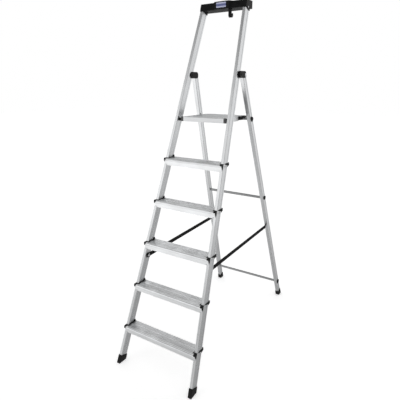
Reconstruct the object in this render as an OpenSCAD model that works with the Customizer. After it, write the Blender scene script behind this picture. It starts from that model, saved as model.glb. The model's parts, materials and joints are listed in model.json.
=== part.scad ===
// Folding step ladder: five deep treads and a hinged platform between two
// stiles, a rear frame that folds about a pin in each stile bracket, webbing
// stays, and a tool tray on top. All sizes are in millimetres.
// X runs across the ladder, -Y is the climbing side and Z is up from the floor.

/* [Front frame] */
// Outside width of the front frame at the floor
front_width = 508; // [480:4:540]
// Backward lean of the front frame in degrees
front_lean = 20.5; // [19.5:0.1:21.5]
// Inward taper of each stile in degrees, measured in the plane of the frame
front_taper = 3.1; // [2.8:0.1:3.3]
// Width of a stile, seen from the front
stile_w = 18; // [16:0.5:20]
// Depth of a stile, front to back
stile_d = 46; // [42:1:48]
// Height of the stile tops
stile_top = 1946; // [1942:1:1948]

/* [Treads] */
// Number of treads below the platform
tread_count = 5; // [5:1:5]
// Height of the first tread surface
first_tread = 213; // [205:1:220]
// Rise from one tread to the next
tread_rise = 230; // [228:0.5:231]
// Depth of a tread, front to back
tread_depth = 80; // [76:1:84]
// How far a tread stands in front of its stiles
tread_nose = 19.5; // [16:0.5:22]
// Height of the tread's front apron
tread_h = 40; // [34:1:42]

/* [Platform] */
// Height of the platform surface
platform_z = 1360; // [1358:1:1362]
// Width of the platform deck
platform_w = 266; // [256:2:268]
// Depth of the platform, front to back
platform_depth = 267; // [262:1:269]
// Height of the platform's edges
platform_h = 27; // [24:1:28]

/* [Rear frame] */
// Distance from the stile fronts to the rear leg fronts, at the floor
frame_spread = 1201.5; // [1195:0.5:1208]
// Forward lean of the rear frame in degrees
rear_lean = 18.7; // [18.4:0.1:19]
// Inward taper of each rear leg in degrees, measured in the plane of the frame
rear_taper = 3.3; // [3.1:0.1:3.4]
// Outside width of the rear frame at the floor
rear_width = 525; // [520:1:530]
// Width of a rear leg, seen from the front
leg_w = 22; // [20:0.5:23]
// Depth of a rear leg, front to back
leg_d = 34; // [32:0.5:36]
// Height of the hinge pins
hinge_z = 1584; // [1580:1:1588]
// Diameter of the crossbars
bar_d = 17; // [15:0.5:18]

/* [Tool tray] */
// Height of the tray's floor, underneath
tray_z = 1930; // [1926:1:1932]
// Height of the tray's walls, from its underside
tray_h = 39; // [36:1:42]
// Depth of the tray, front to back
tray_depth = 84; // [80:1:90]

/* [Walls and fits] */
// Wall of the aluminium tubes and treads
wall = 1.6; // [1.2:0.1:2]
// Wall of the plastic feet and sleeves
shoe_wall = 2.5; // [2:0.1:3]
// Length of the plastic corners at the ends of the treads
cap_w = 13; // [10:0.5:14]
// Play round a fixed piece that slips over another
slip = 0.1; // [0.05:0.05:0.2]
// Play round a pin that turns
running = 0.06; // [0.03:0.01:0.09]

/* [Hidden] */
$fn = 48;
far = 3000;

SIDES = ["left", "right"];

// Places that follow from the driving dimensions
front_gap = shoe_wall / cos(front_lean);
rear_gap = shoe_wall / cos(rear_lean);
leg_run = leg_d / cos(rear_lean);
total_depth = front_gap + frame_spread + leg_run + rear_gap;
front_y = front_gap - total_depth / 2;
rear_y = front_y + frame_spread;
hinge_y = rear_y + leg_run / 2 - hinge_z * tan(rear_lean);
stile_run = stile_d / cos(front_lean);
platform_y = stile_front(platform_z) + 11;
pivot_y = platform_y + 8;
pivot_z = platform_z - 17;
bar_heights = [124, 827, platform_z - 8.2 - bar_d / 2];
strap_z = 600;
strap_w = 20;
strap_t = 1.5;
rivet_r = 2.4;
pin_r = 4;
bore_depth = 90;

// Treads: ribs, aprons, webs, and the collar of the end pieces
rib_h = 1.2;
apron_setback = 6.5;
rear_apron_h = 17;
tread_back = tread_depth - tread_nose;
web_places = [4, 39];
sleeve_t = 2;
collar_w = 5.5;
collar_h = 1.6;
corner_h = 14;
corner_lip = 8;
plate_t = 3;
function tread_end(i) = stile_outer(tread_top(i)) - cap_w;
function plate_inner(i) = stile_outer(tread_top(i)) - plate_t;

// Tray, badge and bucket hook
tray_half = stile_outer(tray_z) + shoe_wall;
tray_y = stile_front(tray_z) - shoe_wall / cos(front_lean) + 1;
pocket_half = stile_inner(tray_z + tray_h, stile_d) - 10;
pad_half = 45;
pad_out = 9;
badge_x = -2;
badge_z = tray_z + tray_h / 2 + 1;
badge_w = 60;
badge_h = 26;
hook_x = 46;
hook_w = 17;

// Hinge brackets
bracket_in = leg_inner(hinge_z) - 1.6;
bracket_out = leg_outer(hinge_z) + 2;
cheek = 3.6;
pin_start = bracket_in - cheek + 1;
bracket_top = hinge_z + 19;
bracket_low = hinge_z - 17;

// Ends of the right strap
strap_front = [
    stile_inner(strap_z, stile_d / 2) - slip - strap_t / 2,
    stile_front(strap_z) + stile_run / 2,
    strap_z - stile_d / 2 * sin(front_lean)
];
strap_rear = [
    leg_inner(strap_z) - slip - strap_t / 2,
    leg_middle(strap_z),
    strap_z + leg_d / 2 * sin(rear_lean)
];

// Platform planks, hooks and pivots
plank_gap = 4;
plank_depth = (platform_depth - 2 * plank_gap) / 3;
plank_half = platform_w / 2 - 3;
hook_front = platform_y + 174;
hook_back = platform_y + platform_depth + 1;
pivot_in = platform_w / 2 + 12;
pivot_out = stile_inner(pivot_z) + 11;

// Y of the front face of a stile at height z
function stile_front(z) = front_y + z * tan(front_lean);
// Y of the middle of a rear leg at height z
function leg_middle(z) = rear_y + leg_run / 2 - z * tan(rear_lean);
// Distance from the centre to a stile's outer face, at height z and depth n
function stile_outer(z, n = 0) =
    front_width / 2 - (z / cos(front_lean) + n * tan(front_lean)) * tan(front_taper);
function stile_inner(z, n = 0) = stile_outer(z, n) - stile_w / cos(front_taper);
// The same for a rear leg, at the middle of its depth
function leg_outer(z) =
    rear_width / 2 - (z / cos(rear_lean) - leg_d / 2 * tan(rear_lean)) * tan(rear_taper);
function leg_inner(z) = leg_outer(z) - leg_w / cos(rear_taper);
function tread_top(i) = first_tread + (i - 1) * tread_rise;
// Length along a stile of the point at height z on its front face
function along_stile(z) = z / cos(front_lean);

// ---------------------------------------------------------------- helpers

// Draws the right-hand piece, or its mirror image for the left
module on_side(side)
    mirror([side == "left" ? 1 : 0, 0, 0]) children();

// Axes of the right stile: x = 0 is its outer face, y = 0 its front face
module in_stile()
    translate([0, front_y, 0])
        rotate([-front_lean, 0, 0])
            translate([front_width / 2, 0, 0])
                rotate([0, -front_taper, 0])
                    children();

// Axes of the right rear leg: x = 0 is its outer face, y = 0 its front face
module in_leg()
    translate([0, rear_y, 0])
        rotate([rear_lean, 0, 0])
            translate([rear_width / 2, 0, 0])
                rotate([0, -rear_taper, 0])
                    children();

// Rectangle from the origin with round corners
module rounded(size, r) {
    translate([r, 0]) square([size[0] - 2 * r, size[1]]);
    translate([0, r]) square([size[0], size[1] - 2 * r]);
    for (x = [r, size[0] - r], y = [r, size[1] - r])
        translate([x, y]) circle(r);
}

// Tube section with a shallow channel down each side face
module tube_section(w, d, channel_w, channel_d) {
    inner_w = w - 2 * (wall + channel_d);
    translate([-w, 0])
        difference() {
            rounded([w, d], 2);
            translate([(w - inner_w) / 2, wall]) square([inner_w, d - 2 * wall]);
            for (x = [0, w])
                translate([x - channel_d, (d - channel_w) / 2])
                    square([2 * channel_d, channel_w]);
        }
}

// The stile as a solid bar, grown by `gap` all round, for cutting pockets
module stile_bar(gap, top = far)
    in_stile()
        translate([-stile_w - gap, -gap, -bore_depth])
            cube([stile_w + 2 * gap, stile_d + 2 * gap, top + bore_depth]);

// Everything below height z
module below(z)
    translate([-far / 2, -far / 2, z - far]) cube(far);

// Rod along X between two places
module rod_x(x1, x2, r)
    translate([min(x1, x2), 0, 0]) rotate([0, 90, 0]) cylinder(h = abs(x2 - x1), r = r);

// Extrudes a shape drawn in (Y, Z) along X between two places
module along_x(x1, x2)
    translate([x1, 0, 0])
        rotate([90, 0, 90])
            linear_extrude(x2 - x1)
                children();

// Runs its children at each tread rivet of the right stile
module at_tread_rivets(i)
    in_stile()
        for (y = [14, stile_d - 14])
            translate([0, y, along_stile(tread_top(i)) - 9 + y * tan(front_lean) * 0.6])
                children();

// Runs its children at the middle of the strap's fixing on the right stile
module at_strap_front()
    in_stile() translate([-stile_w, stile_d / 2, along_stile(strap_z)]) children();

// Runs its children at the middle of the strap's fixing on the right leg
module at_strap_rear()
    in_leg() translate([-leg_w, leg_d / 2, strap_z / cos(rear_lean)]) children();

// ------------------------------------------------------------ front frame

module stile()
    color("gainsboro")
        difference() {
            in_stile()
                linear_extrude(along_stile(stile_top))
                    tube_section(stile_w, stile_d, 22, 0.8);
            below(7);
            for (i = [1 : tread_count])
                at_tread_rivets(i)
                    rod_x(-stile_w - 2, 2, rivet_r + 0.02);
            at_strap_front() rod_x(-2, wall + 2, rivet_r + 0.02);
            translate([0, pivot_y, pivot_z])
                rod_x(stile_inner(pivot_z) - 3, pivot_out + 1, pin_r + 0.02);
        }

// Plastic shoe that caps the foot of a stile, flat on the floor
module foot_front() {
    rim = 48;
    color([0.09, 0.09, 0.09])
        difference() {
            in_stile()
                translate([-stile_w - shoe_wall, -shoe_wall, -bore_depth])
                    linear_extrude(rim + bore_depth)
                        rounded([stile_w + 2 * shoe_wall, stile_d + 2 * shoe_wall], 2.5);
            below(0);
            difference() {
                stile_bar(slip);
                below(7 - slip);
            }
            sole_grooves(front_width / 2 - stile_w / 2, front_y + stile_run / 2, stile_run);
        }
}

// Three shallow grooves across the sole of a foot
module sole_grooves(x, y, run)
    for (k = [-1, 0, 1])
        translate([x, y + k * run / 4, 0]) cube([60, 3, 2.4], center = true);

// Moves to the front face of the stiles at the walking surface of a tread
module at_tread(i)
    translate([0, stile_front(tread_top(i)), tread_top(i)]) children();

// Section of a tread, front at -tread_nose and walking surface at 0
module tread_section() {
    skin = 2.2;
    lip = 7;
    nose_r = 3.5;
    foot_y = -tread_nose + apron_setback;
    translate([-tread_nose + nose_r, -rib_h - skin])
        square([tread_depth - nose_r, skin]);
    tread_ribs();
    // front apron: a rounded nose bead, a recess under it and a leaning fascia
    translate([-tread_nose + nose_r, -nose_r]) circle(nose_r);
    polygon([
        [-tread_nose + 1.5, -5],
        [-tread_nose + 3.4, -8],
        [-tread_nose + 3.6, -14],
        [-tread_nose + 2.4, -15],
        [foot_y, -tread_h],
        [foot_y + lip, -tread_h],
        [foot_y + lip, -tread_h + wall],
        [foot_y + wall, -tread_h + wall],
        [-tread_nose + 5.4, -14],
        [-tread_nose + 5.2, -rib_h - 1]
    ]);
    // rear apron
    translate([tread_back - wall, -rear_apron_h]) square([wall, rear_apron_h - rib_h]);
    translate([tread_back - lip, -rear_apron_h]) square([lip, wall]);
    // stiffening webs
    for (y = web_places)
        translate([y, -rib_h - skin - 9]) square([wall, 9.5]);
}

// Anti-slip ribs in three bands, with a wide groove between the bands
module tread_ribs() {
    rib_w = 1.9;
    bands = [[-tread_nose + 5, -5], [4.5, 28.5], [37.5, tread_back - 2]];
    for (band = bands) {
        count = floor((band[1] - band[0] - rib_w) / 4);
        pitch = (band[1] - band[0] - rib_w) / count;
        for (k = [0 : count])
            translate([band[0] + k * pitch, -rib_h - 0.1])
                square([rib_w, rib_h + 0.1]);
    }
}

// Extruded tread, notched round both stiles and for the end pieces
module tread(i)
    color("gainsboro")
        difference() {
            at_tread(i) along_x(-plate_inner(i), plate_inner(i)) tread_section();
            for (side = SIDES)
                on_side(side) {
                    stile_bar(sleeve_t + slip);
                    at_tread(i) cap_notch(i);
                }
        }

// Room in a tread for the corners of its end piece
module cap_notch(i)
    along_x(tread_end(i), plate_inner(i) + 1) {
        translate([-tread_nose - 1, -corner_lip - slip])
            square([tread_nose + 8, corner_lip + 10]);
        translate([6, -2 * tread_h]) square([tread_depth, 3 * tread_h]);
    }

// Plastic end piece of a tread: a corner before and behind the stile, a plate
// over the end of the apron, a sleeve round the stile with a collar on the
// tread, and a block for the rivets
module tread_cap(i)
    color([0.09, 0.09, 0.09])
        difference() {
            union() {
                at_tread(i) {
                    along_x(tread_end(i) + slip, stile_outer(tread_top(i))) {
                        cap_front(corner_lip);
                        cap_back();
                    }
                    along_x(plate_inner(i) + slip, stile_outer(tread_top(i)))
                        cap_front(2 * corner_h);
                    cap_block(i);
                }
                intersection() {
                    stile_bar(sleeve_t);
                    at_tread(i) cap_slab(i, -rear_apron_h, collar_h);
                }
                intersection() {
                    stile_bar(collar_w);
                    at_tread(i) cap_slab(i, slip, collar_h);
                }
                intersection() {
                    stile_bar(sleeve_t + 1);
                    at_tread(i) cap_tab(i);
                }
            }
            stile_bar(slip);
            at_tread_rivets(i) rod_x(-far, 2, rivet_r + 0.02);
        }

// Side view of the corner before the stile, reaching `drop` below the surface
module cap_front(drop) {
    r = 3;
    translate([-tread_nose + r, collar_h - r]) circle(r);
    polygon([
        [-tread_nose, collar_h - r],
        [-tread_nose, -min(drop, corner_h)],
        [-8, -drop],
        [6, -drop],
        [6, collar_h],
        [-tread_nose + r, collar_h]
    ]);
}

// Side view of the corner behind the stile; its lower edge rises to the rear
module cap_back() {
    r = 3;
    translate([tread_back - r, collar_h - r]) circle(r);
    polygon([
        [tread_back, collar_h - r],
        [tread_back, -corner_h],
        [stile_run - 10, -corner_h - 8],
        [stile_run - 12, collar_h],
        [tread_back - r, collar_h]
    ]);
}

// Level slab round the end of a tread between two heights
module cap_slab(i, z0, z1)
    translate([stile_inner(tread_top(i)) - 20, -tread_nose, z0])
        cube([stile_outer(tread_top(i)) - stile_inner(tread_top(i)) + 20, tread_depth, z1 - z0]);

// Upright tab at the rear inner corner of the collar
module cap_tab(i)
    translate([stile_inner(tread_top(i)) - 20, stile_run - 8, 0])
        cube([22, 14, 11]);

// Block under the walking surface, between the webs, that the rivets enter
module cap_block(i) {
    y0 = web_places[0] + wall + slip;
    along_x(stile_inner(tread_top(i)) - 12, stile_inner(tread_top(i)) + 3)
        translate([y0, -21])
            square([web_places[1] - slip - y0, 17.4]);
}

// Rivets that fix every tread end, heads on the outside of the stiles
module tread_rivets()
    color("silver")
        for (side = SIDES, i = [1 : tread_count])
            on_side(side)
                at_tread_rivets(i) {
                    rod_x(-stile_w - 9, 0, rivet_r);
                    rod_x(0, 1.4, 4.6);
                }

// -------------------------------------------------------------- tool tray

module tool_tray()
    color([0.09, 0.09, 0.09])
        difference() {
            union() {
                tray_body();
                for (side = SIDES) on_side(side) tray_socket();
            }
            for (side = SIDES) on_side(side) stile_bar(slip, along_stile(stile_top) + slip);
            tray_pocket();
            translate([badge_x, tray_y - pad_out, badge_z]) badge_blank(slip);
            at_tray_screws() {
                cylinder(h = 20, r = 1.9, center = true);
                translate([0, 0, shoe_wall]) cylinder(h = 20, r = 4.1);
            }
            translate([hook_x, tray_y + 6, tray_z]) hook_peg(slip);
        }

// Body of the tray: the front leans with the stiles, the pad for the badge is upright
module tray_body() {
    intersection() {
        translate([-tray_half, tray_y, tray_z])
            linear_extrude(tray_h)
                rounded([2 * tray_half, tray_depth], 7);
        behind_stile_fronts(-shoe_wall);
    }
    translate([0, tray_y, tray_z])
        linear_extrude(tray_h)
            polygon([
                [-pad_half - 18, 18],
                [-pad_half, -pad_out],
                [pad_half, -pad_out],
                [pad_half + 18, 18]
            ]);
}

module tray_pocket()
    intersection() {
        translate([-pocket_half, tray_y + 4, tray_z + 3.5])
            linear_extrude(tray_h)
                rounded([2 * pocket_half, tray_depth - 8], 6);
        behind_stile_fronts(4 - shoe_wall);
    }

// Everything further back than a plane `gap` behind the fronts of the stiles
module behind_stile_fronts(gap)
    translate([0, front_y, 0])
        rotate([-front_lean, 0, 0])
            translate([-far / 2, gap, 0])
                cube(far);

// Sleeve under each end of the tray, square to the stile it slips over
module tray_socket()
    in_stile()
        translate([-stile_w - shoe_wall, -shoe_wall, along_stile(tray_z) + 5])
            linear_extrude(24)
                rounded([stile_w + 2 * shoe_wall, stile_d + 2 * shoe_wall], 2.4);

// Badge: a plain blank plate let into the front of the tray
module badge_blank(gap)
    rotate([90, 0, 0])
        translate([-badge_w / 2 - gap, -badge_h / 2 - gap, -1 - gap])
            linear_extrude(1.8 + gap)
                rounded([badge_w + 2 * gap, badge_h + 2 * gap], 3);

module tray_badge()
    color("royalblue")
        translate([badge_x, tray_y - pad_out, badge_z])
            badge_blank(0);

// Places of the screws through the end walls of the tray into the stiles
module at_tray_screws()
    for (side = SIDES)
        on_side(side)
            in_stile()
                translate([0, stile_d / 2, along_stile(tray_z) + 14])
                    rotate([0, 90, 0])
                        children();

module tray_screws()
    color("silver")
        difference() {
            at_tray_screws() {
                translate([0, 0, shoe_wall]) cylinder(h = 2, r = 4);
                translate([0, 0, slip]) cylinder(h = shoe_wall, r = 1.8);
            }
            at_tray_screws()
                translate([0, 0, shoe_wall + 1]) cube([0.9, 5, 3], center = true);
        }

// J-shaped hook for a bucket, pegged under the front of the tray
module hook_peg(gap)
    translate([-5 - gap, -1 - gap, -1]) cube([10 + 2 * gap, 7 + 2 * gap, 3.5 + gap]);

module bucket_hook() {
    drop = 44;
    bend = 8.5;
    band = 8;
    color([0.09, 0.09, 0.09])
        translate([hook_x, tray_y + 3, tray_z - slip])
            union() {
                along_x(-hook_w / 2, hook_w / 2) {
                    translate([0, -drop + bend + band / 2]) square([band, drop - bend - band / 2]);
                    translate([0, -2]) square([18, 2]);
                    translate([bend + band / 2, -drop + bend + band / 2])
                        intersection() {
                            difference() {
                                circle(bend + band / 2);
                                circle(bend - band / 2);
                            }
                            translate([-50, -100]) square(100);
                        }
                    translate([2 * bend, -drop + bend + band / 2]) square([band, 6]);
                    translate([2 * bend + band / 2, -drop + bend + band / 2 + 6]) circle(band / 2);
                }
                translate([0, 3, 0]) hook_peg(0);
            }
}

// ------------------------------------------------------------------ hinge

// Plastic bracket: two cheeks, a web behind the stile and a roof over the leg
module hinge_bracket()
    color([0.09, 0.09, 0.09])
        difference() {
            union() {
                along_x(bracket_in - cheek, bracket_out + cheek) bracket_profile();
                at_bracket_dimple()
                    rod_x(bracket_in - cheek - 0.8, bracket_out + cheek + 0.8, 5);
            }
            at_bracket_dimple() {
                rod_x(bracket_in - cheek - 2, bracket_in - cheek + 0.4, 3);
                rod_x(bracket_out + cheek - 0.4, bracket_out + cheek + 2, 3);
            }
            stile_bar(slip);
            along_x(bracket_in, bracket_out) bracket_slot();
            translate([0, hinge_y, hinge_z]) rod_x(pin_start, far, pin_r + 0.02);
        }

// Middle of the small round dimple in each cheek
module at_bracket_dimple()
    translate([0, stile_front(hinge_z) + 41, hinge_z]) children();

module bracket_profile() {
    y0 = stile_front(hinge_z) + 25.5;
    y1 = hinge_y + 11;
    translate([y0, bracket_low])
        rounded([y1 - y0, bracket_top - bracket_low], 17);
}

// Room for the leg: behind the web, under the roof, open below and behind
module bracket_slot() {
    web_y = stile_front(0) + stile_run + 6;
    slope = tan(front_lean);
    roof = hinge_z + 17.6;
    polygon([
        [web_y + (bracket_low - 20) * slope, bracket_low - 20],
        [web_y + roof * slope, roof],
        [hinge_y + 60, roof],
        [hinge_y + 60, bracket_low - 20]
    ]);
}

// Hinge pin in a blind hole of the inner cheek, with its head on the outside
module hinge_pin()
    color("silver")
        translate([0, hinge_y, hinge_z]) {
            rod_x(pin_start + slip, bracket_out + cheek + 1, pin_r);
            rod_x(bracket_out + cheek + slip, bracket_out + cheek + 2, 8.5);
            rod_x(bracket_out + cheek, bracket_out + cheek + 3, 6.5);
        }

// ------------------------------------------------------------------ straps

// Webbing stay between a stile and a rear leg, pulled straight
module strap() {
    run = strap_rear - strap_front;
    lean_out = atan(run[0] / run[1]);
    climb = atan(run[2] / run[1]);
    end = 16;
    color([0.12, 0.12, 0.12])
        difference() {
            translate(strap_front)
                rotate([climb, 0, -lean_out])
                    translate([-strap_t / 2, -end, -strap_w / 2])
                        cube([strap_t, norm(run) + 2 * end, strap_w]);
            stile_bar(slip / 2);
            in_leg() translate([-leg_w - slip / 2, -1, -50]) cube([leg_w, leg_d + 2, far]);
            at_strap_front() rod_x(-20, 5, rivet_r + 0.02);
            at_strap_rear() rod_x(-20, 5, rivet_r + 0.02);
        }
}

// Stud with a ring that clamps a strap end
module strap_stud(reach) {
    difference() {
        rod_x(-6.4, -3, 11);
        rod_x(-7, 0, rivet_r);
    }
    rod_x(-7.6, reach, rivet_r);
    rod_x(-8, -6.4, 5.5);
}

module strap_studs_front()
    color("dimgray")
        for (side = SIDES)
            on_side(side)
                at_strap_front() strap_stud(wall);

module strap_studs_rear()
    color("dimgray")
        for (side = SIDES)
            on_side(side)
                at_strap_rear() strap_stud(wall);

// -------------------------------------------------------------- rear frame

module rear_leg()
    color("gainsboro")
        difference() {
            intersection() {
                in_leg()
                    linear_extrude(far)
                        tube_section(leg_w, leg_d, 14, 0.8);
                leg_outline();
            }
            below(6);
            for (z = bar_heights)
                translate([0, leg_middle(z), z]) rod_x(0, far, bar_d / 2 + 0.03);
            translate([0, hinge_y, hinge_z]) rod_x(0, far, pin_r + running);
            at_strap_rear() rod_x(-2, wall + 2, rivet_r + 0.02);
        }

// Side view of a leg: square to the hinge pin, then round over it
module leg_outline()
    along_x(0, far) {
        translate([hinge_y, hinge_z]) circle(leg_d / 2, $fn = 96);
        translate([hinge_y, hinge_z])
            rotate(rear_lean)
                translate([-leg_d, -far]) square([2 * leg_d, far]);
    }

module foot_rear() {
    rim = 34;
    color([0.09, 0.09, 0.09])
        difference() {
            in_leg()
                translate([-leg_w - shoe_wall, -shoe_wall, -bore_depth])
                    linear_extrude(rim + bore_depth)
                        rounded([leg_w + 2 * shoe_wall, leg_d + 2 * shoe_wall], 2.5);
            below(0);
            difference() {
                in_leg()
                    translate([-leg_w - slip, -slip, -bore_depth])
                        cube([leg_w + 2 * slip, leg_d + 2 * slip, far]);
                below(6 - slip);
            }
            sole_grooves(rear_width / 2 - leg_w / 2, rear_y + leg_run / 2, leg_run);
        }
}

// Round tube through both legs at height z
module crossbar(z) {
    half = leg_outer(z) - 0.6;
    color("silver")
        translate([0, leg_middle(z), z])
            difference() {
                rod_x(-half, half, bar_d / 2);
                rod_x(-half - 1, half + 1, bar_d / 2 - wall);
            }
}

// Round plugs in the ends of the crossbars, on the outside of a leg
module crossbar_plugs()
    color([0.06, 0.06, 0.06])
        for (z = bar_heights)
            translate([0, leg_middle(z), z])
                difference() {
                    union() {
                        rod_x(leg_outer(z) - 12, leg_outer(z) + 2, bar_d / 2 - wall - 0.05);
                        rod_x(leg_outer(z) - 3, leg_outer(z) + 3.4, 11);
                        rod_x(leg_outer(z) + 2, leg_outer(z) + 4.4, 9);
                    }
                    translate([0, -leg_middle(z), -z]) leg_bar(0.05);
                    difference() {
                        rod_x(leg_outer(z) - 20, leg_outer(z) - 0.55, far);
                        rod_x(leg_outer(z) - 20, leg_outer(z), bar_d / 2 - wall - 0.05);
                    }
                }

// The right leg as a solid bar with its crossbar holes left open
module leg_bar(gap)
    difference() {
        in_leg()
            translate([-leg_w, -gap, 0])
                cube([leg_w + gap, leg_d + 2 * gap, far]);
        for (z = bar_heights)
            translate([0, leg_middle(z), z]) rod_x(0, far, bar_d / 2);
    }

// ---------------------------------------------------------------- platform

// One plank, extruded across the platform; aprons reach down at the ends given
module plank(y0, front_apron, rear_apron) {
    rib = 1.2;
    skin = 1.8;
    bands = 4;
    pitch = plank_depth / bands;
    color("gainsboro")
        translate([0, platform_y + y0, platform_z])
            along_x(-plank_half, plank_half) {
                translate([0, -rib - skin]) square([plank_depth, skin]);
                for (band = [0 : bands - 1], k = [0 : 3])
                    translate([band * pitch + 3.2 + k * 4.2, -rib - 0.1])
                        square([2.2, rib + 0.1]);
                translate([0, -front_apron]) square([wall, front_apron - rib]);
                translate([0, -front_apron]) square([front_apron > 10 ? 7 : wall, wall]);
                translate([plank_depth - wall, -rear_apron]) square([wall, rear_apron - rib]);
            }
}

// Side rail from the pivot to the hook
module platform_rail()
    color("silver")
        difference() {
            along_x(plank_half + slip, platform_w / 2)
                translate([platform_y + 16, platform_z - platform_h])
                    square([hook_front - platform_y - 16.2, platform_h - 1.2]);
            at_rail_rivets() rod_x(-5, 5, rivet_r + 0.02);
        }

module at_rail_rivets()
    for (y = [40, 96, 150])
        translate([platform_w / 2, platform_y + y, platform_z - 8])
            children();

module platform_rivets()
    color("silver")
        for (side = SIDES)
            on_side(side)
                at_rail_rivets() {
                    rod_x(-2.9, 0, rivet_r);
                    rod_x(0, 1.2, 4.4);
                }

// Plastic hook that drops over the platform crossbar from above
module platform_hook() {
    bar_y = leg_middle(bar_heights[2]);
    saddle = platform_z - 7.9;
    low = platform_z - 22;
    color([0.09, 0.09, 0.09])
        along_x(plank_half + slip, platform_w / 2 + 6)
            difference() {
                translate([hook_front, low])
                    rounded([hook_back - hook_front, platform_z - 1.2 - low], 3);
                polygon([
                    [bar_y - bar_d / 2 - 14, low - 1],
                    [bar_y - bar_d / 2 - 9, saddle],
                    [bar_y + bar_d / 2 + 1, saddle],
                    [bar_y + bar_d / 2 + 1, low - 1]
                ]);
            }
}

// Plastic end piece that carries the platform on its pivot
module platform_end()
    color([0.12, 0.12, 0.12])
        difference() {
            along_x(plank_half + slip, pivot_in)
                translate([platform_y, platform_z - platform_h])
                    rounded([15.9, platform_h - 1.2], 4);
            translate([0, pivot_y, pivot_z]) rod_x(0, far, pin_r + running);
        }

// Bush and pin, fixed in the inner side of the stile, that the platform turns on
module platform_pivot()
    color("dimgray")
        translate([0, pivot_y, pivot_z]) {
            difference() {
                rod_x(pivot_in + 0.4, stile_inner(pivot_z) + 3, 8.5);
                translate([0, -pivot_y, -pivot_z]) stile_bar(0.02);
            }
            rod_x(plank_half + 4, pivot_out, pin_r);
        }

// ---------------------------------------------------------------- assembly

for (side = SIDES)
    on_side(side) stile();
for (i = [1 : tread_count])
    tread(i);
for (i = [1 : tread_count], side = SIDES)
    on_side(side) tread_cap(i);
tread_rivets();
for (side = SIDES)
    on_side(side) foot_front();
tool_tray();
tray_badge();
tray_screws();
bucket_hook();
for (side = SIDES)
    on_side(side) hinge_bracket();
for (side = SIDES)
    on_side(side) hinge_pin();
strap_studs_front();
for (side = SIDES)
    on_side(side) strap();
strap_studs_rear();
for (side = SIDES)
    on_side(side) rear_leg();
crossbar(bar_heights[0]);  // crossbar_lower
crossbar(bar_heights[1]);  // crossbar_upper
crossbar(bar_heights[2]);  // crossbar_platform
for (side = SIDES)
    on_side(side) crossbar_plugs();
for (side = SIDES)
    on_side(side) foot_rear();
plank(0, platform_h, 8);  // platform_front
plank(plank_depth + plank_gap, 8, 8);  // platform_middle
plank(2 * (plank_depth + plank_gap), 8, 20);  // platform_back
for (side = SIDES)
    on_side(side) platform_rail();
for (side = SIDES)
    on_side(side) platform_hook();
for (side = SIDES)
    on_side(side) platform_end();
for (side = SIDES)
    on_side(side) platform_pivot();
platform_rivets();
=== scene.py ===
"""Looks of a folding aluminium step ladder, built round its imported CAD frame.

Everything is in metres, in the CAD's own frame: +X to the right, -Y the
climbing side, +Z up.
"""
import json
import math

import bmesh
import bpy
from mathutils import Matrix, Vector


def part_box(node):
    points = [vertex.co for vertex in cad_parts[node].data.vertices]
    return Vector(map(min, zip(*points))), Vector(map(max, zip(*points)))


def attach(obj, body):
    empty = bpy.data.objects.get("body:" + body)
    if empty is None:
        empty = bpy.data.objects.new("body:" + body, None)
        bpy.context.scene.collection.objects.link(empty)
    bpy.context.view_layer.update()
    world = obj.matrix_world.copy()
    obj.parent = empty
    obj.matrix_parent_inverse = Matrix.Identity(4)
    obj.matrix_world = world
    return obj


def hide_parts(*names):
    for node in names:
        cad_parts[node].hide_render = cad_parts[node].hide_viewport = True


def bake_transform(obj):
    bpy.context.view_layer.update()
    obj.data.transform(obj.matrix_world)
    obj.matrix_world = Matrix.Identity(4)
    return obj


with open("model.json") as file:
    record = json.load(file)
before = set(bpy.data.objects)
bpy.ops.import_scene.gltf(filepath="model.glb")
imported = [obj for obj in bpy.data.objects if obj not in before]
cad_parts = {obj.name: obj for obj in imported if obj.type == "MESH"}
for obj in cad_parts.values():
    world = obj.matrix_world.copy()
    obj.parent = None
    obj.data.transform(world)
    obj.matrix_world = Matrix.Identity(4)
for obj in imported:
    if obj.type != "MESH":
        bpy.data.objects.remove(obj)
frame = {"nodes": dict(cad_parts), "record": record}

MM = 0.001
NODES = frame["nodes"]
BODY_OF = {
    node: body
    for body, nodes in frame["record"]["behaviour"]["bodies"].items()
    for node in nodes
}
SIDES = ("left", "right")
UP = Vector((0, 0, 1))
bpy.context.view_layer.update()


# ------------------------------------------------------------ node trees

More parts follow.
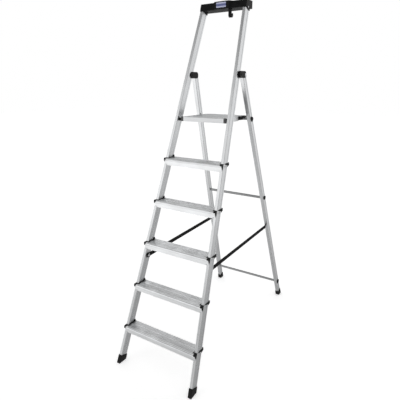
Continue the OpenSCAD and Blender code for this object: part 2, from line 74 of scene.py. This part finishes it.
class Graph:
    """A short way to build a node tree."""

    def __init__(self, tree):
        self.tree = tree
        tree.nodes.clear()

    def add(self, kind, inputs=None, **settings):
        made = self.tree.nodes.new("ShaderNode" + kind)
        for key, value in settings.items():
            setattr(made, key, value)
        for key, value in (inputs or {}).items():
            self.feed(made.inputs[key], value)
        return made

    def feed(self, socket, value):
        if isinstance(value, bpy.types.NodeSocket):
            self.tree.links.new(value, socket)
        else:
            socket.default_value = value

    def math(self, operation, a, b=0.0):
        return self.add("Math", {0: a, 1: b}, operation=operation).outputs[0]

    def spread(self, value, low, high, to_low=0.0, to_high=1.0, kind="SMOOTHSTEP"):
        inputs = {"Value": value, "From Min": low, "From Max": high,
                  "To Min": to_low, "To Max": to_high}
        return self.add("MapRange", inputs, interpolation_type=kind).outputs[0]

    def mix(self, share, a, b, blend="MIX"):
        made = self.add("Mix", {0: share, 6: a, 7: b}, data_type="RGBA", blend_type=blend)
        return made.outputs[2]

    def noise(self, vector, scale, detail=2.0, roughness=0.5):
        inputs = {"Vector": vector, "Scale": scale, "Detail": detail, "Roughness": roughness}
        return self.add("TexNoise", inputs).outputs[0]

    def stretched(self, vector, size, turn=(0, 0, 0)):
        """Coordinates in which one unit is `size`, after a turn."""
        scale = [1 / s for s in size]
        return self.add("Mapping", {"Vector": vector, "Rotation": turn, "Scale": scale}).outputs[0]

    def turned(self, vector, turn):
        return self.add("Mapping", {"Vector": vector, "Rotation": turn}).outputs[0]

    def bump(self, height, distance, strength, normal=None):
        inputs = {"Height": height, "Distance": distance, "Strength": strength}
        if normal is not None:
            inputs["Normal"] = normal
        return self.add("Bump", inputs).outputs[0]


def material(name):
    made = bpy.data.materials.new(name)
    made.use_nodes = True
    return made, Graph(made.node_tree)


def finish_surface(graph, inputs):
    shader = graph.add("BsdfPrincipled", inputs)
    graph.feed(graph.add("OutputMaterial").inputs["Surface"], shader.outputs[0])


def object_coords(graph):
    return graph.add("TexCoord").outputs["Object"]


def object_height(graph):
    return graph.add("SeparateXYZ", {0: object_coords(graph)}).outputs["Z"]


def facing_up(graph, low, high):
    """0 where the surface faces sideways or down, 1 where it faces up at rest."""
    normal = graph.add("TexCoord").outputs["Normal"]
    return graph.spread(graph.add("SeparateXYZ", {0: normal}).outputs["Z"], low, high)


def grey(value):
    return (value, value, value, 1)


# ------------------------------------------------------------- materials

def extruded_aluminium(name, direction, tone, roughness, top=None, top_tone_kept_in_painted_shade=1.0):
    """Satin aluminium with die lines along `direction`, soft blotches and handling marks.

    With `top`, the height of a walking surface, its grooves get dark grime and painted shade,
    and its upward faces get painted shade, keeping only the share given by the last argument of
    their tone.
    """
    made, g = material(name)
    turn = direction.rotation_difference(UP).to_euler()
    local = g.turned(object_coords(g), turn)
    lines = g.noise(g.stretched(local, (0.7 * MM, 0.7 * MM, 900 * MM)), 1.0, 3.0, 0.6)
    bands = g.noise(g.stretched(local, (6 * MM, 6 * MM, 2500 * MM)), 1.0, 1.0)
    cloud = g.noise(local, 14.0, 3.0)
    marks = g.noise(g.stretched(local, (14 * MM, 14 * MM, 0.5 * MM), (0.5, 0.2, 0)), 1.0, 2.0)
    mark = g.spread(marks, 0.72, 0.78)
    patch = g.math("MULTIPLY", mark, g.spread(cloud, 0.52, 0.62))
    shade = g.math("ADD", g.math("MULTIPLY", lines, 0.5), g.math("MULTIPLY", bands, 0.5))
    dark = [0.90 * c for c in tone] + [1]
    light = [1.06 * c for c in tone] + [1]
    colour = g.mix(g.spread(shade, 0.3, 0.7), dark, light)
    colour = g.mix(g.math("MULTIPLY", g.spread(cloud, 0.35, 0.75), 0.12), colour, grey(0.55))
    colour = g.mix(g.math("MULTIPLY", patch, 0.35), colour, grey(0.95))
    rough = g.spread(shade, 0.25, 0.75, roughness - 0.06, roughness + 0.07, "LINEAR")
    rough = g.math("ADD", rough, g.math("MULTIPLY", g.math("SUBTRACT", cloud, 0.5), 0.14))
    if top is not None:
        up = facing_up(g, 0.6, 0.9)
        depth = g.math("SUBTRACT", top, object_height(g))
        below_ribs = g.spread(depth, 0.3 * MM, 0.9 * MM)
        above_skin = g.spread(depth, 3 * MM, 4 * MM, 1.0, 0.0)
        groove = g.math("MULTIPLY", below_ribs, above_skin)
        # Grooves are mixed towards near-black: partly grime, partly painted shade in the recesses.
        groove_grime_and_shade = g.math("MULTIPLY", groove, g.spread(cloud, 0.2, 0.6, 0.25, 0.5))
        # Painted shade: upward faces are mixed towards black, keeping the share of their tone
        # given by the last argument.
        colour = g.mix(g.math("MULTIPLY", up, 1 - top_tone_kept_in_painted_shade), colour, grey(0.0))
        colour = g.mix(groove_grime_and_shade, colour, (0.10, 0.098, 0.094, 1))
    normal = g.bump(lines, 0.03 * MM, 0.6)
    normal = g.bump(patch, 0.02 * MM, 0.5, normal)
    finish_surface(g, {"Base Color": colour, "Metallic": 1.0, "Roughness": rough,
                       "Normal": normal})
    return made


def zinc_steel(name):
    """Zinc-plated steel with a faint spangle, a fine grain and stains."""
    made, g = material(name)
    coords = object_coords(g)
    spangle = g.add("TexVoronoi", {"Vector": coords, "Scale": 650.0}).outputs["Color"]
    tint = g.mix(0.18, (0.68, 0.69, 0.70, 1), spangle, "OVERLAY")
    grain = g.noise(coords, 2600.0, 3.0)
    stain = g.spread(g.noise(coords, 180.0, 3.0), 0.55, 0.75)
    colour = g.mix(g.math("MULTIPLY", stain, 0.3), tint, (0.42, 0.41, 0.39, 1))
    rough = g.spread(grain, 0.3, 0.7, 0.24, 0.42, "LINEAR")
    normal = g.bump(grain, 0.02 * MM, 0.5)
    finish_surface(g, {"Base Color": colour, "Metallic": 1.0, "Roughness": rough,
                       "Normal": normal})
    return made


def moulded_plastic(name, tone=0.005, roughness=0.42):
    """Moulded plastic: a fine spark-eroded grain, faint flow clouds and dust on top."""
    made, g = material(name)
    coords = object_coords(g)
    grain = g.noise(coords, 1900.0, 2.0, 0.65)
    cells = g.add("TexVoronoi", {"Vector": coords, "Scale": 1300.0}).outputs["Distance"]
    flow = g.noise(coords, 26.0, 3.0)
    settled = g.spread(flow, 0.45, 0.75, 0.02, 0.3)
    dust = g.math("MULTIPLY", facing_up(g, 0.55, 0.95), settled)
    colour = g.mix(g.spread(flow, 0.3, 0.7), grey(tone * 0.75), grey(tone * 1.5))
    colour = g.mix(g.math("MULTIPLY", dust, 0.08), colour, (0.30, 0.29, 0.27, 1))
    uneven = g.math("ADD", grain, flow)
    rough = g.spread(uneven, 0.7, 1.3, roughness - 0.08, roughness + 0.14, "LINEAR")
    normal = g.bump(grain, 0.06 * MM, 0.45)
    normal = g.bump(cells, 0.05 * MM, 0.35, normal)
    finish_surface(g, {"Base Color": colour, "Roughness": rough, "Normal": normal,
                       "Specular IOR Level": 0.13})
    return made


def moulded_rubber(name):
    """Black rubber, matt, scuffed pale where it meets the floor."""
    made, g = material(name)
    coords = object_coords(g)
    grain = g.noise(coords, 900.0, 4.0, 0.7)
    scuff = g.noise(g.stretched(coords, (3 * MM, 3 * MM, 9 * MM)), 1.0, 4.0, 0.7)
    low = g.spread(object_height(g), 2 * MM, 16 * MM, 1.0, 0.0)
    worn = g.math("MULTIPLY", low, g.spread(scuff, 0.5, 0.75))
    colour = g.mix(g.spread(grain, 0.3, 0.7), grey(0.006), grey(0.013))
    colour = g.mix(g.math("MULTIPLY", worn, 0.55), colour, (0.13, 0.125, 0.12, 1))
    rough = g.spread(grain, 0.2, 0.8, 0.55, 0.85, "LINEAR")
    normal = g.bump(grain, 0.12 * MM, 0.6)
    finish_surface(g, {"Base Color": colour, "Roughness": rough, "Normal": normal,
                       "Specular IOR Level": 0.2})
    return made


RIB_PITCH = 1.7 * MM
YARN_PITCH = 0.8 * MM
PICK_PITCH = 1.1 * MM
SELVEDGE = 1.6 * MM
SELVEDGE_INNER = 0.9 * MM


def wave(g, value, pitch):
    return g.math("SINE", g.math("MULTIPLY", value, 2 * math.pi / pitch))


def woven_webbing(name, width):
    """Black herringbone webbing. UV runs in metres: across, then along."""
    made, g = material(name)
    parts = g.add("SeparateXYZ", {0: g.add("TexCoord").outputs["UV"]})
    across, along = parts.outputs[0], parts.outputs[1]
    from_middle = g.math("ABSOLUTE", g.math("SUBTRACT", across, width / 2))
    slanted = g.math("ADD", g.math("PINGPONG", across, width / 4), along)
    rib = wave(g, slanted, RIB_PITCH)
    yarn = wave(g, across, YARN_PITCH)
    pick = wave(g, along, PICK_PITCH)
    edge = g.spread(from_middle, width / 2 - SELVEDGE, width / 2 - SELVEDGE_INNER)
    body = g.math("ADD", g.math("MULTIPLY", rib, 0.6), g.math("MULTIPLY", yarn, 0.4))
    height = g.add("Mix", {0: edge, 2: body, 3: pick}).outputs[0]
    fuzz = g.noise(object_coords(g), 1500.0, 3.0)
    colour = g.mix(g.spread(height, -0.8, 0.9), grey(0.003), grey(0.012))
    colour = g.mix(g.math("MULTIPLY", g.spread(fuzz, 0.55, 0.8), 0.2), colour, grey(0.04))
    normal = g.bump(height, 0.25 * MM, 0.8)
    normal = g.bump(fuzz, 0.1 * MM, 0.4, normal)
    finish_surface(g, {"Base Color": colour, "Roughness": 0.82, "Normal": normal,
                       "Specular IOR Level": 0.1, "Sheen Weight": 0.02, "Sheen Roughness": 0.4})
    return made


def badge_print(name, low, high):
    """Blank badge: a pale plate with one plain blue band across its middle."""
    made, g = material(name)
    coords = object_coords(g)
    middle, half = (low.z + high.z) / 2, (high.z - low.z) / 2
    away = g.math("ABSOLUTE", g.math("SUBTRACT", object_height(g), middle))
    band = g.spread(away, half * 0.42, half * 0.46, 1.0, 0.0)
    print_grain = g.noise(coords, 2200.0, 2.0)
    slanted = g.stretched(coords, (9 * MM, 9 * MM, 1 * MM), (0, 0.5, 0))
    scuff = g.spread(g.noise(slanted, 1.0, 3.0), 0.6, 0.75)
    colour = g.mix(band, (0.42, 0.44, 0.62, 1), (0.045, 0.065, 0.24, 1))
    colour = g.mix(g.math("MULTIPLY", print_grain, 0.12), colour, grey(0.6))
    colour = g.mix(g.math("MULTIPLY", scuff, 0.25), colour, grey(0.55))
    rough = g.spread(print_grain, 0.3, 0.7, 0.26, 0.4, "LINEAR")
    finish_surface(g, {"Base Color": colour, "Roughness": rough,
                       "Normal": g.bump(print_grain, 0.02 * MM, 0.3), "Coat Weight": 0.3})
    return made


END_SHARE = 0.05


def run_of(node):
    """Direction of a long straight node, from its lowest to its highest points."""
    points = [v.co for v in NODES[node].data.vertices]
    low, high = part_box(node)
    rise = (high.z - low.z) * END_SHARE
    ends = []
    for keep in (lambda p: p.z < low.z + rise, lambda p: p.z > high.z - rise):
        chosen = [p for p in points if keep(p)]
        ends.append(sum(chosen, Vector()) / len(chosen))
    return (ends[1] - ends[0]).normalized()


X_AXIS = Vector((1, 0, 0))
Y_AXIS = Vector((0, 1, 0))
TUBE_LOOK = {"tone": (0.72, 0.73, 0.74), "roughness": 0.29}
TREAD_LOOK = {"tone": (0.88, 0.89, 0.90), "roughness": 0.36}
# The plank tops get painted shade through their last entry, which keeps half their tone.
PLANK_LOOK = {"tone": (0.92, 0.93, 0.94), "roughness": 0.34, "top_tone_kept_in_painted_shade": 0.50}
RAIL_LOOK = {"tone": (0.84, 0.85, 0.86), "roughness": 0.36}
CROSSBAR_LOOK = {"tone": (0.38, 0.385, 0.39), "roughness": 0.33}

TUBES = [f"{kind}_{side}" for kind in ("stile", "rear_leg") for side in SIDES]
TREADS = [f"tread_{i}" for i in range(1, 6)]
PLANKS = [f"platform_{place}" for place in ("front", "middle", "back")]


def top_of(node):
    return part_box(node)[1].z


own_finish = {}
for node in TUBES:
    own_finish[node] = extruded_aluminium(node + "_aluminium", run_of(node), **TUBE_LOOK)
for node in TREADS:
    own_finish[node] = extruded_aluminium(node + "_aluminium", X_AXIS, top=top_of(node),
                                          **TREAD_LOOK)
for node in PLANKS:
    own_finish[node] = extruded_aluminium(node + "_aluminium", X_AXIS, top=top_of(node),
                                          **PLANK_LOOK)
rail_metal = extruded_aluminium("rail_aluminium", Y_AXIS, **RAIL_LOOK)
crossbar_metal = extruded_aluminium("tube_aluminium", X_AXIS, **CROSSBAR_LOOK)
zinc = zinc_steel("zinc_plate")
plastic = moulded_plastic("black_plastic")
plug_plastic = moulded_plastic("plug_plastic", 0.005, 0.36)
grey_plastic = moulded_plastic("grey_plastic", 0.10, 0.45)
dark_plastic = moulded_plastic("dark_plastic", 0.04, 0.45)
stud_finish = moulded_plastic("stud_plastic", 0.008, 0.35)
rubber = moulded_rubber("black_rubber")

for side in SIDES:
    own_finish["platform_end_" + side] = grey_plastic
    own_finish["platform_pivot_" + side] = dark_plastic
finish_of_slot = {
    "aluminium_tread": rail_metal,
    "aluminium_tube": crossbar_metal,
    "steel_fastener": zinc,
    "stud_dark": stud_finish,
    "plastic_black": plastic,
    "rubber_foot": rubber,
    "badge_face": badge_print("badge_print", *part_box("tray_badge")),
}


def paint(obj, finish):
    obj.data.materials.clear()
    obj.data.materials.append(finish)


# Edge roundings of moulded nodes, by the start of the node's name
FINE_EDGE = 0.7 * MM
SOFT_EDGES = {
    "tool_tray": FINE_EDGE,
    "bucket_hook": FINE_EDGE,
    "hinge_bracket": 2.2 * MM,
    "tread_cap": FINE_EDGE,
    "foot_": FINE_EDGE,
    "platform_hook": FINE_EDGE,
    "platform_end": FINE_EDGE,
}
SHARP_ANGLE = math.radians(35)
WELD_REACH = 0.01 * MM


def soften(obj, width):
    """Rounds the edges of a CAD node with modifiers alone."""
    obj.modifiers.new("join", "WELD").merge_threshold = WELD_REACH
    bevel = obj.modifiers.new("edges", "BEVEL")
    bevel.width = width
    bevel.segments = 2
    bevel.limit_method = "ANGLE"
    bevel.angle_limit = SHARP_ANGLE
    bevel.harden_normals = True


def paint_cad_nodes():
    """Gives each CAD node its finish; the straps' slot has none, as webbing replaces them."""
    slots = {row["node"]: row["material_slot"] for row in frame["record"]["subparts"]}
    for name, obj in NODES.items():
        if name in own_finish:
            paint(obj, own_finish[name])
        elif slots[name] in finish_of_slot:
            paint(obj, finish_of_slot[slots[name]])
        for start, width in SOFT_EDGES.items():
            if name.startswith(start):
                soften(obj, width)


# ------------------------------------------------- rivets, pins and studs

# Outlines run from the seat to the flat middle. Each point is a height over the CAD
# pin's outer end and a radius, both in millimetres, and the number of the finish.
RIVET = [(-1.4, 4.6, 0), (-1.05, 4.5, 0), (-0.55, 3.8, 0), (-0.15, 2.6, 0), (0, 1.6, 0),
         (-0.1, 1.25, 0), (-0.6, 1.1, 0)]
PLANK_RIVET = [(0.85 * height, 0.95 * radius, finish) for height, radius, finish in RIVET]
PIN_HEAD = [(-2.9, 8.5, 0), (-1.3, 8.5, 0), (-1.05, 8.2, 0), (-1.0, 6.6, 0), (-0.6, 6.3, 0),
            (-0.25, 5.2, 0), (0, 3.2, 0)]
BAR_PLUG = [(-4.4, 11, 0), (-1.6, 11, 0), (-1.15, 10.6, 0), (-0.9, 9.6, 0), (-0.5, 9.0, 0),
            (-0.1, 7.4, 0), (0, 5.2, 0), (-0.5, 4.6, 0)]
STRAP_STUD = [(-5, 11, 0), (-2.4, 11, 0), (-1.8, 10.3, 0), (-1.7, 6.4, 0), (-2.0, 5.9, 0),
              (-1.2, 5.4, 1), (-0.3, 4.4, 1), (0, 2.6, 1)]


FACES_SIDEWAYS = 0.95
SAME_SIDE = 100 * MM
CAP_DEPTH = 0.6 * MM
TURNED_SEGMENTS = 28


def pin_ends(node, reach, inward):
    """Middle and outward direction of the last flat face of each pin in a CAD node.

    Faces that look away from the middle of the ladder, or towards it if
    `inward`, belong to one pin when they are closer together than `reach`.
    """
    groups = []
    for face in NODES[node].data.polygons:
        side = math.copysign(1, face.center.x) * (-1 if inward else 1)
        if face.normal.x * side < FACES_SIDEWAYS:
            continue
        for group in groups:
            apart = face.center - group[0].center
            if apart.yz.length < reach and abs(apart.x) < SAME_SIDE:
                group.append(face)
                break
        else:
            groups.append([face])
    ends = []
    for group in groups:
        side = math.copysign(1, group[0].normal.x)
        last = max(face.center.x * side for face in group)
        cap = [face for face in group if face.center.x * side > last - CAP_DEPTH]
        area = sum(face.area for face in cap)
        middle = sum((face.center * face.area for face in cap), Vector()) / area
        normal = sum((face.normal * face.area for face in cap), Vector()).normalized()
        ends.append((middle, normal))
    return ends


def add_ring(bm, place, height, radius):
    """Ring of vertices round the Z axis of `place`."""
    ring = []
    for k in range(TURNED_SEGMENTS):
        angle = 2 * math.pi * k / TURNED_SEGMENTS
        spot = Vector((radius * math.cos(angle), radius * math.sin(angle), height))
        ring.append(bm.verts.new(place @ spot))
    return ring


def add_turned_body(bm, place, outline):
    """Closed body of revolution round the Z axis of `place`."""
    rings = [add_ring(bm, place, height * MM, radius * MM) for height, radius, _ in outline]
    for ring, above, (_, _, finish) in zip(rings, rings[1:], outline[1:]):
        for k in range(TURNED_SEGMENTS):
            after = (k + 1) % TURNED_SEGMENTS
            face = bm.faces.new((ring[k], ring[after], above[after], above[k]))
            face.smooth = True
            face.material_index = finish
    top = bm.faces.new(rings[-1])
    top.material_index = outline[-1][2]
    bm.faces.new(rings[0][::-1])


def turned_pieces(node, outline, finishes, reach=15 * MM, inward=False):
    """Turned heads in place of the plain pins of a CAD node."""
    name = node + "_turned"
    mesh = bpy.data.meshes.new(name)
    bm = bmesh.new()
    for middle, normal in pin_ends(node, reach, inward):
        turn = normal.to_track_quat("Z", "Y").to_matrix().to_4x4()
        add_turned_body(bm, Matrix.Translation(middle) @ turn, outline)
    bm.to_mesh(mesh)
    bm.free()
    piece = bpy.data.objects.new(name, mesh)
    bpy.context.scene.collection.objects.link(piece)
    for finish in finishes:
        mesh.materials.append(finish)
    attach(piece, BODY_OF[node])
    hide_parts(node)


def make_turned_pieces():
    turned_pieces("tread_rivets", RIVET, [zinc], 8 * MM)
    turned_pieces("platform_rivets", PLANK_RIVET, [zinc])
    for side in SIDES:
        turned_pieces("hinge_pin_" + side, PIN_HEAD, [zinc])
        turned_pieces("crossbar_plugs_" + side, BAR_PLUG, [plug_plastic])
    for node in ("strap_studs_front", "strap_studs_rear"):
        turned_pieces(node, STRAP_STUD, [stud_finish, zinc], inward=True)


# ----------------------------------------------------------------- straps

STRAP_WIDTH = 25 * MM
STRAP_THICK = 1.5 * MM
CAD_STRAP_WIDTH = 20 * MM
STRAP_STEPS = 96
STRAP_COLUMNS = 8
# The webbing thins from this share of its half-width, at this rate
EDGE_STARTS = 0.75
EDGE_TAPER = 2.4


def strap_ends(side):
    """Middle of each end of a strap, front first, from the box of its CAD stand-in."""
    low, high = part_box("strap_" + side)
    sign = -1 if side == "left" else 1
    inner, outer = sorted((low.x, high.x), key=abs)
    half_t, half_w = STRAP_THICK / 2, CAD_STRAP_WIDTH / 2
    start = Vector((inner + sign * half_t, low.y, low.z + half_w))
    end = Vector((outer - sign * half_t, high.y, high.z - half_w))
    return start, end


def strap_section():
    """Points round a section of the webbing, thinner at its edges: across, then out."""
    points = []
    for k in range(2 * (STRAP_COLUMNS + 1)):
        front = k <= STRAP_COLUMNS
        column = k if front else 2 * STRAP_COLUMNS + 1 - k
        u = STRAP_WIDTH * (column / STRAP_COLUMNS - 0.5)
        fullness = 1 - max(0, abs(u) / (STRAP_WIDTH / 2) - EDGE_STARTS) * EDGE_TAPER
        points.append((u, STRAP_THICK / 2 * fullness * (1 if front else -1)))
    return points


def make_strap(side, finish):
    """Webbing between two studs, with a UV map in metres for its weave."""
    start, end = strap_ends(side)
    along = (end - start).normalized()
    across = X_AXIS.cross(along).normalized()
    out = across.cross(along).normalized()
    length = (end - start).length
    mesh = bpy.data.meshes.new("strap_webbing_" + side)
    bm = bmesh.new()
    uv = bm.loops.layers.uv.new("weave")
    rings = []
    for i in range(STRAP_STEPS + 1):
        s = length * i / STRAP_STEPS
        ring = []
        for u, n in strap_section():
            ring.append((bm.verts.new(start + along * s + across * u + out * n), u, s))
        rings.append(ring)
    around = len(rings[0])
    for a, b in zip(rings, rings[1:]):
        for k in range(around):
            corners = [a[k], b[k], b[(k + 1) % around], a[(k + 1) % around]]
            face = bm.faces.new([c[0] for c in corners])
            face.smooth = True
            for loop, (_, u, s) in zip(face.loops, corners):
                loop[uv].uv = (u + STRAP_WIDTH / 2, s)
    for ring in (rings[0], rings[-1]):
        bm.faces.new([r[0] for r in ring])
    bmesh.ops.recalc_face_normals(bm, faces=bm.faces)
    bm.to_mesh(mesh)
    bm.free()
    strap = bpy.data.objects.new("strap_webbing_" + side, mesh)
    bpy.context.scene.collection.objects.link(strap)
    paint(strap, finish)
    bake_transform(strap)
    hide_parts("strap_" + side)


# -------------------------------------------------------- stage and light

# Place in metres, angles in degrees, lens and sensor in millimetres
CAMERA_PLACE = Vector((1.1292, -1.9262, 1.5304))
CAMERA_TURN = 32.12
CAMERA_PITCH = 16.73
CAMERA_LENS = 34.43
CAMERA_SENSOR = 36


def make_camera():
    data = bpy.data.cameras.new("camera")
    data.lens = CAMERA_LENS
    data.sensor_width = CAMERA_SENSOR
    camera = bpy.data.objects.new("camera", data)
    camera.location = CAMERA_PLACE
    camera.rotation_euler = (math.radians(90 - CAMERA_PITCH), 0, math.radians(CAMERA_TURN))
    bpy.context.scene.collection.objects.link(camera)
    bpy.context.scene.camera = camera


def direction(azimuth, elevation):
    """Unit vector: azimuth 0 is towards -Y, 90 towards +X."""
    a, e = math.radians(azimuth), math.radians(elevation)
    return Vector((math.sin(a) * math.cos(e), -math.cos(a) * math.cos(e), math.sin(e)))


# Softboxes and flags of the studio. Each is an azimuth, an elevation, the angles from
# its middle where it starts and stops fading, and its strength, below 0 for a flag.
STUDIO = [
    (-36, 20, 6, 21, 0.90),
    (-40, -26, 8, 27, 0.85),
    (-36, 60, 12, 34, -0.24),
    (148, 14, 10, 46, 0.50),
    (148, -48, 10, 36, -0.06),
    (212, 24, 14, 46, 0.66),
    (212, -6, 2, 15, -0.40),
    (20, 84, 15, 42, 0.20),
]
STUDIO_LEVEL = 0.48


def make_world():
    """Light of the studio; the camera itself sees plain white."""
    world = bpy.data.worlds.new("studio")
    world.use_nodes = True
    g = Graph(world.node_tree)
    facing = g.add("TexCoord").outputs["Generated"]
    level = STUDIO_LEVEL
    for azimuth, elevation, inner, outer, strength in STUDIO:
        vectors = {0: facing, 1: direction(azimuth, elevation)}
        towards = g.add("VectorMath", vectors, operation="DOT_PRODUCT").outputs["Value"]
        low, high = math.cos(math.radians(outer)), math.cos(math.radians(inner))
        level = g.math("ADD", level, g.spread(towards, low, high, 0.0, strength))
    seen = g.add("LightPath").outputs["Is Camera Ray"]
    level = g.add("Mix", {0: seen, 2: g.math("MAXIMUM", level, 0.0), 3: 1.0}).outputs[0]
    back = g.add("Background", {"Color": grey(1.0), "Strength": level})
    g.feed(g.add("OutputWorld").inputs["Surface"], back.outputs[0])
    bpy.context.scene.world = world


FLOOR_SIZE = 40
FLOOR_GLOW = 0.52


def make_floor():
    bpy.ops.mesh.primitive_plane_add(size=FLOOR_SIZE, location=(0, 0, 0))
    floor = bpy.context.object
    floor.name = "floor"
    made, g = material("pale_floor")
    speckle = g.noise(object_coords(g), 60.0, 3.0)
    colour = g.mix(speckle, grey(0.80), grey(0.84))
    finish_surface(g, {"Base Color": colour, "Roughness": 0.9, "Specular IOR Level": 0.1,
                       "Emission Color": grey(1.0), "Emission Strength": FLOOR_GLOW})
    floor.data.materials.append(made)
    floor.visible_glossy = False


KEY_PLACE = Vector((-2.2, -3.2, 3.6))
KEY_TARGET = Vector((0, 0, 0.9))
KEY_SIZE = 2.6
KEY_POWER = 8


def make_key_light():
    data = bpy.data.lights.new("key", "AREA")
    data.size = KEY_SIZE
    data.energy = KEY_POWER
    lamp = bpy.data.objects.new("key", data)
    lamp.location = KEY_PLACE
    lamp.rotation_euler = (KEY_TARGET - KEY_PLACE).to_track_quat("-Z", "Y").to_euler()
    lamp.visible_glossy = False
    bpy.context.scene.collection.objects.link(lamp)


make_camera()
make_world()
make_floor()
make_key_light()
bpy.context.scene.view_settings.view_transform = "Standard"

paint_cad_nodes()
make_turned_pieces()
webbing = woven_webbing("black_webbing", STRAP_WIDTH)
for side in SIDES:
    make_strap(side, webbing)
